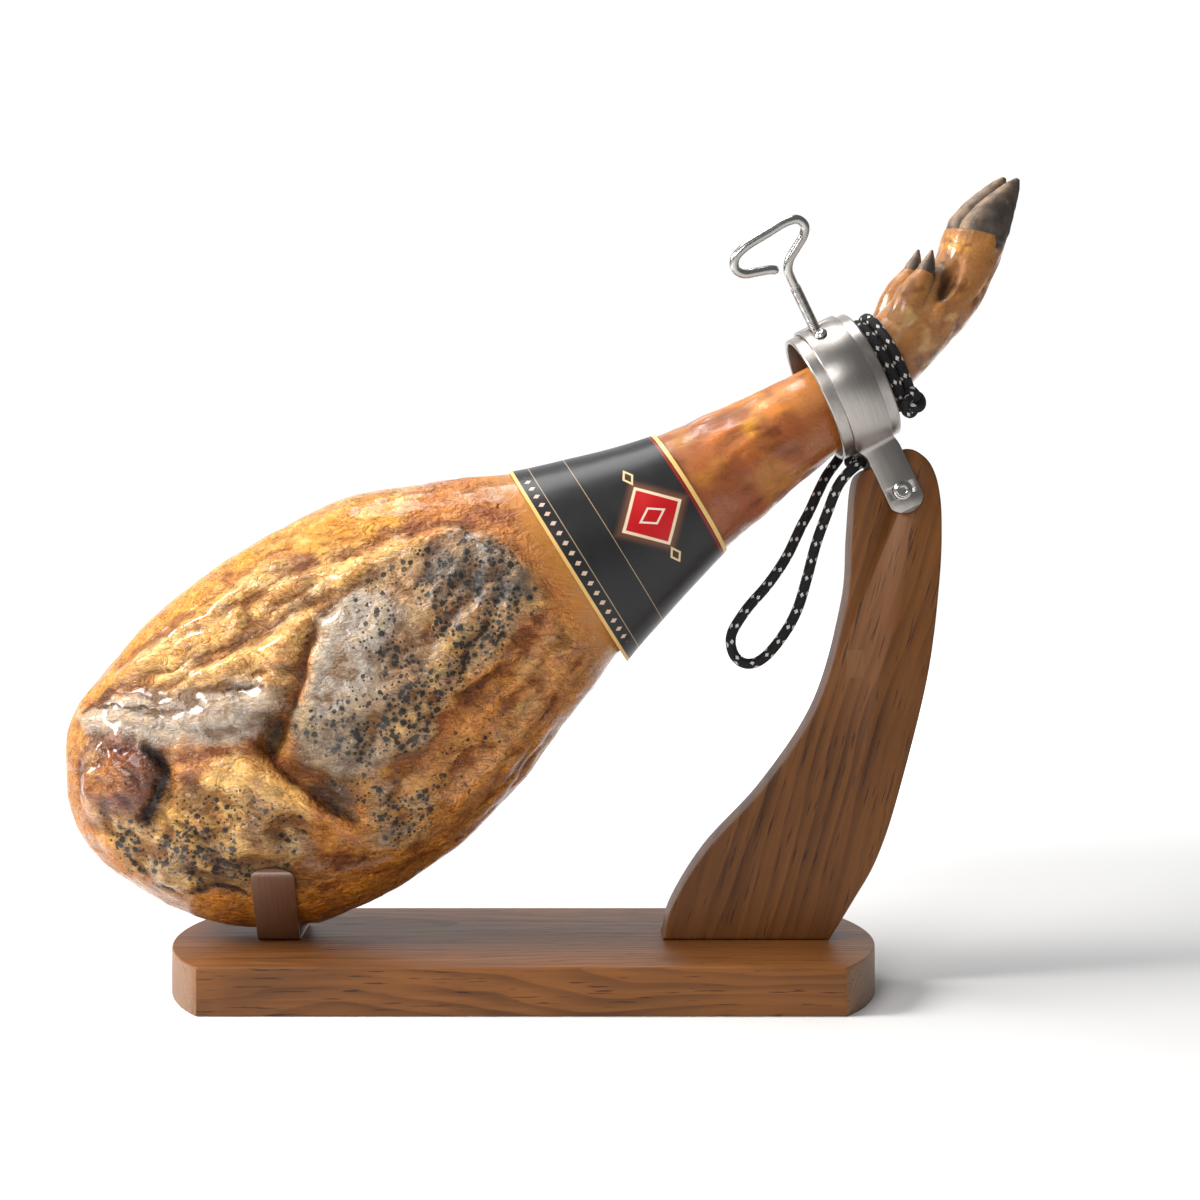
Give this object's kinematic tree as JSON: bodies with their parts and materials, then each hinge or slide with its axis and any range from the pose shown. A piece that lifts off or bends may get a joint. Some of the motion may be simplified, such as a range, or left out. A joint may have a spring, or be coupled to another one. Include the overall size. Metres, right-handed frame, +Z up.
{
  "type": "cured ham on a carving stand",
  "caption": "Whole cured ham with trotter and paper sleeve, lying in a wooden carving stand with a steel cradle, a clamp ring and a screw that grips the shank.",
  "frame": {"origin": "centre of the board's underside", "axes": "+X along the board from the butt to the trotter, +Y away from the front, +Z up"},
  "size_m": [0.6657, 0.18, 0.5653],
  "materials": {
    "stained_wood": "satin",
    "cradle_steel": "satin",
    "ring_steel": "brushed",
    "polished_steel": "polished",
    "ham": "oily",
    "horn": "satin",
    "label": "satin",
    "cord": "woven"
  },
  "bodies": {
    "stand_and_ham": {"base_board": "stained_wood", "upright": "stained_wood", "cradle_bracket": "cradle_steel", "cradle_stud_front": "polished_steel", "cradle_stud_back": "polished_steel", "clamp_ring": "ring_steel", "clamp_strap": "ring_steel", "pivot_bolt": "polished_steel", "pivot_nut": "polished_steel", "strap_button": "polished_steel", "ham": "ham", "claw_near": "horn", "claw_far": "horn", "dewclaw_near": "horn", "dewclaw_far": "horn", "label_sleeve": "label", "rope_wrap": "cord", "rope_loop": "cord"},
    "pressure_foot": {"screw_foot": "ring_steel"},
    "screw": {"clamp_screw": "polished_steel"}
  },
  "joints": [
    {"name": "screw_travel", "type": "slide", "parent": "stand_and_ham", "child": "pressure_foot", "axis": [-0.4612, -0.3737, 0.8048], "range_m": [0, 0.00938]},
    {"name": "screw_turn", "type": "hinge", "parent": "pressure_foot", "child": "screw", "pos_m": [0.20045, -0.01824, 0.45506], "axis": [-0.4612, -0.3737, 0.8048], "range_deg": [0, 2700]}
  ],
  "couplings": [
    {"joint": "screw_travel", "follows": "screw_turn", "m_per_rad": 0.00019894}
  ]
}
